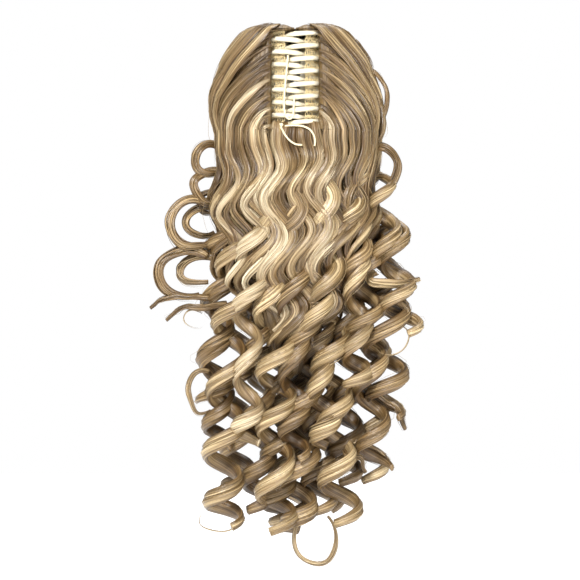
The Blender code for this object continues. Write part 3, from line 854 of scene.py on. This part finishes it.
# Locks swept from the claw's edge: height at the root, angle at the crown's foot, haste
# outwards, width, lift, end height, shades on the left and right
SWEPT_LOCKS = [
    (39, 93, 2.8, 13, 3.6, -120, "gold", "brown"), (35, 88, 2.5, 12, 3.6, -160, "brown", "gold"),
    # The deep brown of the third and fourth locks is partly their own dark strands and partly
    # painted shade in the hollow beside the claw
    (29, 84, 2.0, 9, 0.8, -110, "deep", "deep"), (23, 82, 1.6, 9, 0.6, -130, "deep", "brown"),
    (17, 79, 1.5, 10, 0.8, -150, "deep", "gold"), (11, 76, 1.4, 10, 2.8, -176, "gold", "deep"),
    (4, 72, 1.3, 10, 1.2, -190, "brown", "gold"), (-3, 67, 1.3, 10, 3.4, -208, "pale", "brown"),
    (-9, 62, 1.25, 9, 1.4, -196, "deep", "deep"), (-15, 56, 1.2, 9, 3.6, -214, "gold", "gold"),
    (-21, 50, 1.15, 9, 2.0, -200, "brown", "brown"), (-27, 44, 1.1, 9, 3.6, -222, "pale", "deep"),
    (-33, 38, 1.1, 9, 4.2, -206, "gold", "pale"), (-39, 33, 1.0, 9, 4.6, -190, "pale", "gold")]
ROOT_ANGLES = (26.4, 28.2)


def wave_turn(z, x, pitch=WAVE_PITCH):
    """How far a wave has turned at a height. Neighbours lag a little with their place."""
    return 2 * np.pi * (z + 20) / pitch - x * 0.03


def wave_size(down, least, soon, length, late):
    """How wide a wave swings: it grows soon below the crown, and again far down."""
    return least + soon * ease(down / length) + late * ease((down - 90) / 110)


def hang_on(side, angle, z_end, lift, rng):
    """The rest of a lock below the crown: it waves together with its neighbours."""
    z = np.arange(WAVE_START - 1.0, z_end, -3.9)
    down = WAVE_START - z
    size = wave_size(down, 0.6, 8, 64, 5) * rng.uniform(0.75, 1.15)
    middle = crown_point(side, angle, z)
    pitch = WAVE_PITCH * rng.uniform(0.95, 1.05)
    turn = wave_turn(z, middle[0, 0], pitch) + rng.uniform(-0.45, 0.45)
    reach = np.hypot(middle[:, 0], middle[:, 1] - HINGE_Y)
    swing = np.degrees(size * np.sin(turn) / np.maximum(reach, 18))
    tuck = 10 * ease((z_end + 40 - z) / 40)
    fade = ease(down / WAVE_FADE)
    # Painted shading: darker below the crown and near the tucked end, lighter as painted highlight
    # where the wave bulges forward
    gloom = 0.27 * fade - 0.38 * np.cos(turn) * fade + 0.5 * ease((z_end + 30 - z) / 30)
    points = crown_point(side, angle + swing * fade * side, z,
                         lift + (0.5 * size * np.cos(turn)) * fade - tuck)
    return points, z, gloom


def lay(name, line, outs, width, rng, shade, stands_for=("ringlets",), wisps=None, hairs=5,
        roam=8, depth=4.6, **shape):
    """Make one lock and the single hairs that stray from it."""
    grids = lock(line, outs, width, depth, wisps or int(width * 0.42), rng, **shape)
    make_hair(name, grids, shade, *stands_for)
    if hairs:
        strays = loose_hairs(line, outs, hairs, roam, rng)
        make_hair(name + "_loose_hairs", strays, "gold", *stands_for)


def make_crown_locks():
    for side_name, side in SIDES.items():
        for number, (top, low, first, bow, width, lift, z_end, shade) in enumerate(LOBE_LOCKS):
            rng = np.random.default_rng(100 + number + 50 * side)
            t = np.linspace(0, 1, 32)
            angle = top + (low - top) * ease(t) + bow * np.sin(np.pi * t)
            height = lift * (0.4 + 0.6 * np.sin(np.pi * t * 0.9))
            height += 3.4 * np.sin(np.pi * np.clip(t * 1.7, 0, 1))
            upper = meridian(side, angle, first + (1 - first) * t, height)
            lower, z, gloom = hang_on(side, low, z_end, height[-1], rng)
            line = np.vstack([upper, lower])
            outs = np.vstack([lobe_outs(side, angle, upper[:, 2]),
                              lobe_outs(side, low + 0 * z, z)])
            lay(f"{side_name}_lobe_lock_{number + 1}", line, outs, width, rng, shade,
                (side_name + "_crown_hair", "ringlets"), gloom=np.concatenate([0 * t, gloom]))


def make_swept_locks():
    for side_name, side in SIDES.items():
        for number, (z_top, low, haste, width, lift, z_end, *shades) in enumerate(SWEPT_LOCKS):
            rng = np.random.default_rng(300 + number + 50 * side)
            t = np.linspace(0, 1, 30)
            start = rng.uniform(*ROOT_ANGLES)
            angle = start + (low - start) * (1 - (1 - t) ** haste)
            z_root = z_top + side * 2 + rng.uniform(-2.6, 2.6)
            z = z_root + (WAVE_START - z_root) * t ** rng.uniform(1.1, 1.5)
            height = lift * (0.15 + 0.85 * np.sin(np.pi * t * 0.8)) - 0.7 * (1 - t) ** 10
            shade = shades[0 if side < 0 else 1]
            upper = crown_point(side, angle, z, height)
            lower, z_low, gloom = hang_on(side, low, z_end + rng.uniform(-8, 8), height[-1], rng)
            line = np.vstack([upper, lower])
            outs = np.vstack([lobe_outs(side, angle, z * 0.6),
                              lobe_outs(side, low + 0 * z_low, z_low)])
            # Painted shade darkens the roots beside the claw
            lay(f"{side_name}_swept_lock_{number + 1:02d}", line, outs,
                width * rng.uniform(0.8, 1.2), rng, shade, (side_name + "_crown_hair", "ringlets"),
                root=0.3, hairs=8, roam=9, gloom=np.concatenate([0.6 * (1 - t) ** 3, gloom]))


# Hanging lengths

def front_of_body(x, z):
    """How far forward the mass of hair reaches at a place seen from the front."""
    left, right, front, _ = table_at(BODY_ROWS, z)
    return HINGE_Y - front * np.sqrt(np.clip(1 - (x / np.where(x < 0, left, right)) ** 2, 0, 1))


# Ringlets: x at the root and tip, y at the root and tip, the way it faces (degrees from the
# front), end height, height of the full coil, coil radius and pitch, start in sevenths of a
# turn, width, shade, and how far a front one lies before the body of hair
RINGLETS = {
    "front_far_left": (-44, -62, 14, 8, -35, -396, -205, 18.5, 45, 2, 14, "gold", 2.5),
    "front_left": (-24, -17, 10, 4, -10, -400, -235, 18.5, 46, 5, 14, "gold", 3.0),
    "front_centre": (-1, 6, 9, 22, 0, -404, -250, 18, 47, 1, 14, "brown", 2.0),
    "front_right": (20, 38, 10, 4, 10, -392, -235, 18, 46, 6, 14, "gold", 3.0),
    "front_far_right": (42, 68, 14, 14, 35, -345, -200, 17, 45, 3, 13, "brown", 2.5),
    "back_far_left": (-42, -52, 38, 50, -145, -372, -215, 18, 46, 7, 14, "brown", 0),
    "back_left": (-15, -10, 40, 50, 180, -398, -235, 18, 47, 4, 14, "gold", 0),
    "back_right": (16, 32, 40, 50, 172, -386, -235, 18, 46, 2, 14, "brown", 0),
    "back_far_right": (44, 72, 38, 50, 145, -360, -210, 15, 45, 6, 13, "gold", 0),
    "right_side": (46, 94, 22, 14, 80, -226, -90, 17, 45, 5, 12, "gold", 0),
    "right_lower": (44, 80, 30, 22, 110, -300, -170, 22, 46, 3, 13, "brown", 0),
    "middle_left": (-36, -42, 2, 0, -20, -322, -150, 14, 45, 3, 14, "pale", 3.0),
    "middle_centre": (2, -2, 0, 6, 5, -336, -165, 14, 48, 5, 13, "brown", 3.0),
    "middle_right": (26, 22, 0, 2, 0, -326, -155, 14, 46, 2, 14, "gold", 3.0),
    "middle_far_right": (44, 54, 6, 6, 25, -270, -140, 13, 44, 6, 13, "gold", 3.0),
    "left_lower": (-50, -74, 30, 30, -90, -286, -150, 16, 42, 2, 11, "brown", 0),
    "right_outer": (60, 92, 22, 22, 75, -208, -84, 15, 40, 1, 10, "gold", 0),
    "right_back": (58, 84, 44, 50, 120, -214, -90, 15, 40, 4, 10, "brown", 0),
    # The inner ringlets hang behind the front ones; their deep and brown shades are partly the
    # hair's own colour and partly painted shade
    "inner_left": (-34, -34, 24, 28, -20, -384, -170, 15, 45, 5, 13, "brown", 2.0),
    "inner_middle": (-8, -14, 26, 30, 10, -392, -170, 15, 46, 2, 13, "deep", 2.0),
    "inner_right": (18, 20, 26, 30, 0, -388, -170, 15, 46, 6, 13, "brown", 2.0),
    "inner_far_right": (40, 46, 24, 30, 20, -360, -170, 15, 45, 1, 13, "deep", 2.0),
    "inner_far_left": (-56, -68, 26, 30, -30, -330, -150, 14, 45, 4, 12, "brown", 2.0),
    "back_middle": (0, 6, 44, 52, 178, -352, -170, 15, 46, 5, 13, "brown", 0),
    "back_middle_left": (-30, -34, 42, 50, -170, -330, -160, 15, 46, 1, 13, "gold", 0),
    "back_middle_right": (32, 48, 42, 50, 165, -320, -160, 15, 46, 3, 13, "brown", 0)}
# Those that face less far aside than this hang at the front
FRONT_FACES = 60


def ringlet_line(x0, x1, y0, y1, faces, end, full, coil_radius, coil_pitch, start, rng):
    """Middle line of one ringlet, and the way that its ribbon faces along it."""
    steps = 20
    slack = rng.uniform(0, ANY_TURN, 4)
    faces = math.radians(faces)
    front = np.array([math.sin(faces), -math.cos(faces), 0])
    aside = np.array([math.cos(faces), math.sin(faces), 0])
    height = RINGLET_START
    turns = start / 7
    coiled = False
    line, outs = [], []
    while height > end:
        grown = ease((RINGLET_START - height) / (RINGLET_START - full))
        along = (RINGLET_START - height) / (RINGLET_START - end)
        pitch = WAVE_PITCH + (coil_pitch * LOOSER - WAVE_PITCH) * grown
        pitch *= (1 + 0.12 * math.sin(height * 0.031 + slack[0])
                  + 0.06 * math.sin(height * 0.083 + slack[1]))
        pitch *= 1 - 0.38 * ease((end + 52 - height) / 40)
        x = x0 + (x1 - x0) * ease(along * 1.4)
        y = y0 + (y1 - y0) * along
        turn = 2 * math.pi * turns * COIL_HAND
        radius = coil_radius * NARROWER * (1 + 0.10 * math.sin(height * 0.043 + slack[2])
                                           + 0.07 * math.sin(height * 0.097 + slack[3]))
        forward = radius * (1 - grown + grown * math.cos(turn))
        sideways = radius * (0.3 + 0.7 * grown) * math.sin(turn)
        if grown > COIL_SHARE and math.floor(turns + 1e-6) != math.floor(turns - 1 / steps):
            coiled = True
        line.append(np.array([x, y, height]) + front * forward + aside * sideways)
        outs.append(front * math.cos(turn) + aside * math.sin(turn) if coiled else front)
        height -= pitch / steps
        turns += 1 / steps
    return np.array(line), np.array(outs)


def laid_over(line, lift):
    """Keep a front lock outside the body of hair behind it."""
    keep = ease((line[:, 2] - LAID_TO) / 60)
    surface = front_of_body(line[:, 0], line[:, 2]) - lift
    line = line.copy()
    line[:, 1] = line[:, 1] * (1 - keep) + np.minimum(line[:, 1], surface) * keep
    return line


def make_ringlet(number, name, sizes):
    """One hanging lock from its root to its curled tip. Painted shade darkens its inner side and
    painted highlight lightens its outer side.
    """
    *coil, width, shade, lift = sizes
    faces = coil[4]
    rng = np.random.default_rng(1000 + number * 10)
    line, outs = ringlet_line(*coil, rng)
    if abs(faces) < FRONT_FACES:
        line = laid_over(line, lift - 1.5)
        below = RINGLET_START - line[:, 2]
        line[:, 1] += ROOT_TUCK * (1 - ease(below / ROOT_TUCK_LENGTH))
    sway = stacked(drift(rng, len(line), 4, 2.0), drift(rng, len(line), 4, 2.0), 0)
    away = unit(line[:, :2] - [0, HINGE_Y])
    # Painted shade where the ribbon faces in towards the hair, painted highlight where it faces
    # out
    gloom = np.clip(0.04 - 0.34 * np.sum(away * outs[:, :2], axis=1), -0.24, 0.38)
    lay(name, line + sway, outs, width, rng, shade,
        hairs=4, roam=7, tip=0.25, depth=6.5, gloom=gloom)


# Waves below the claw: height and x at the root, x at the top and bottom, end height, lift,
# width, shade
WAVES = [
    (-42, -17, -17, -20, -226, 4.2, 10, "pale"), (-43, -9, -10, -11, -240, 3.6, 9, "gold"),
    (-44, -2, -3, -3, -252, 1.6, 9, "deep"), (-44, 5, 5, 7, -246, 3.0, 9, "gold"),
    (-43, 12, 12, 15, -236, 1.8, 9, "deep"), (-42, 18, 19, 23, -222, 4.5, 10, "pale")]


def make_waves():
    for number, (z_root, x_root, x_top, x_low, z_end, lift, width, shade) in enumerate(WAVES):
        rng = np.random.default_rng(600 + number)
        z = np.arange(WAVE_START, z_end, -3.4)
        down = WAVE_START - z
        size = wave_size(down, 1.0, 8.4, 56, 4)
        turn = wave_turn(z, x_top)
        x = x_top + (x_low - x_top) * down / down[-1]
        x = x + size * np.sin(turn) * ease(down / WAVE_FADE)
        tuck = 12 * ease((z_end + 45 - z) / 45)
        y = front_of_body(x_top + 0 * x, z) - lift - 0.5 * size * np.cos(turn) + tuck
        y = -8.0 + (y + 8.0) * ease((-62 - z) / 32)
        lead = np.array([[x_root * 0.95, -3.0, z_root + 3.0], [x_root, -7.0, z_root - 0.5]])
        line = smooth_path(np.vstack([lead, stacked(x, y, z)[2::2]]), 2)
        outs = np.tile(unit(np.array([x_top * 0.01, -1, 0.1])), (len(line), 1))
        below = WAVE_START - line[:, 2]
        bulge = np.cos(wave_turn(line[:, 2], x_top))
        # Painted shade all along, most at the root under the crown; painted highlight where the
        # wave bulges forward
        gloom = 0.26 + 0.45 * ease(1 - below / 26) - 0.34 * bulge * ease(below / 30)
        lay(f"wave_{number + 1}", line, outs, width, rng, shade,
            root=0.9, hairs=6, roam=9, gloom=gloom)


# Curls beside the mass of hair as arcs: middle x and z, half width, half height, y, angle at
# each end (0 is right, 90 is up), how far the bend stands forward, width, shade
SIDE_CURLS = {
    "left_curl_high": (-74, -70, 15, 12, 28, 55, 300, 8, 9, "brown"),
    "left_curl_under": (-74, -94, 17, 12, 28, 70, 310, 8, 9, "brown"),
    "left_curl_shadow": (-72, -108, 15, 10, 34, 80, 280, 5, 7, "deep"),
    "left_curl_wide": (-89, -127, 22, 21, 26, 60, 305, 14, 11, "brown"),
    "left_curl_inner": (-80, -124, 17, 13, 34, 70, 300, 6, 9, "brown"),
    "left_curl_low": (-95, -172, 28, 20.5, 26, 48, 292, 14, 11, "brown"),
    "left_curl_low_inner": (-82, -169, 20, 11, 32, 60, 285, 6, 9, "gold"),
    "left_tail": (-88, -208, 42, 16, 20, 70, 165, 6, 6.5, "brown"),
    "left_tail_low": (-74, -216, 40, 16, 20, 70, 165, 6, 6.5, "brown"),
    "left_curl_foot": (-82, -278, 14, 20, 24, 70, 300, 5, 5.5, "gold"),
    "right_curl_crown": (66, -17, 16, 24, 24, 110, -95, 6, 4.5, "brown"),
    "right_curl_crown_low": (66, -32, 14, 26, 24, 110, -95, 8, 4.5, "gold"),
    "right_curl_high": (70, -81, 21, 23, 28, 105, -85, 10, 9, "brown"),
    "right_curl_hook": (90, -173, 20, 11, 18, 150, 345, 10, 9, "gold"),
    "right_curl_low": (82, -206, 18, 16, 26, 130, -80, 10, 10, "brown"),
    "right_tail": (58, -312, 42, 34, 22, 85, 4, 5, 8.5, "gold"),
    "right_tail_low": (46, -297, 34, 26, 24, -95, -8, 5, 6.5, "gold"),
    "right_tail_foot": (38, -352, 24, 26, 18, 85, 2, 5, 7, "brown"),
    "stray_loop_foot": (18, -406, 18, 18, 10, 125, 415, 4, 4.4, "gold"),
    "stray_loop_left_foot": (-64, -388, 20, 10, 6, 150, 400, 4, 3.0, "gold"),
    "stray_loop_crown": (20, -4, 52, 51, 22, 84, 8, 8, 1.2, "gold"),
    "stray_loop_right": (86, -230, 15, 12, 14, 70, -190, 6, 2.0, "gold"),
    "stray_loop_left": (-90, -212, 10, 8, 20, 40, 320, 4, 1.6, "gold")}
# A curl no wider than this is a few wisps without a body
THIN_CURL = 4


def make_side_curls():
    count = 50
    for number, (name, curl) in enumerate(SIDE_CURLS.items()):
        x, z, wide, high, y, first, last, forward, width, shade = curl
        rng = np.random.default_rng(900 + number)
        turn = np.radians(np.linspace(first, last, count))
        bend = np.sin(np.linspace(0, np.pi, count))
        line = stacked(x + wide * np.cos(turn), y - forward * bend, z + high * np.sin(turn))
        line += stacked(*[drift(rng, count, 3, size) for size in (1.7, 2.0, 1.7)])
        outs = unit(stacked(0.7 * np.cos(turn), -1, 0.7 * np.sin(turn)))
        thick = width > THIN_CURL
        # Painted highlight where the curl bends forward, painted shade towards its ends
        lay(name, line, outs, width, rng, shade, wisps=max(2, int(width * 0.7)),
            hairs=3 if thick else 0, roam=4, depth=0.55 * width, body=thick,
            wisp_width=2.4 if thick else 1.1, root=1.0, tip=0.3, gloom=0.3 - 0.35 * bend)


def make_core():
    """The hair inside the lengths, drawn deep brown as painted shade."""
    z = np.linspace(CORE_ROWS[0][0] + 1.5, CORE_ROWS[-1][0], 56)[:, None]
    x, half, depth, y = table_at(CORE_ROWS, z)
    columns = 180
    turn = 2 * np.pi * np.arange(columns) / columns
    wave = np.sin((z + 10) * 2 * np.pi / WAVE_PITCH + 2.5 * np.sin(3 * turn))
    strands = 0.05 * wave + 0.03 * np.sin(17 * turn + 2 * wave)
    strands += 0.02 * np.sin(41 * turn + 3 * wave)
    scale = 0.95 + strands + 0.012 * (np.arange(columns) % 2)
    points = stacked(x + half * scale * np.cos(turn), y + depth * scale * np.sin(turn), z)
    places = stacked(turn * 6 + 10, -z / MAP_LENGTH)
    make_hair("inner_lengths", [(points[::-1], places[::-1])], "deep", "ringlets")


# The whole hairpiece

make_camera()
make_cords()
make_studio()
for side_name, side in SIDES.items():
    make_claw(side_name, side)
    make_net(side_name, side)
    make_under_crown(side_name, side)
make_spring()
make_crown_locks()
make_swept_locks()
make_core()
for number, (name, sizes) in enumerate(RINGLETS.items()):
    make_ringlet(number, name, sizes)
make_waves()
make_side_curls()
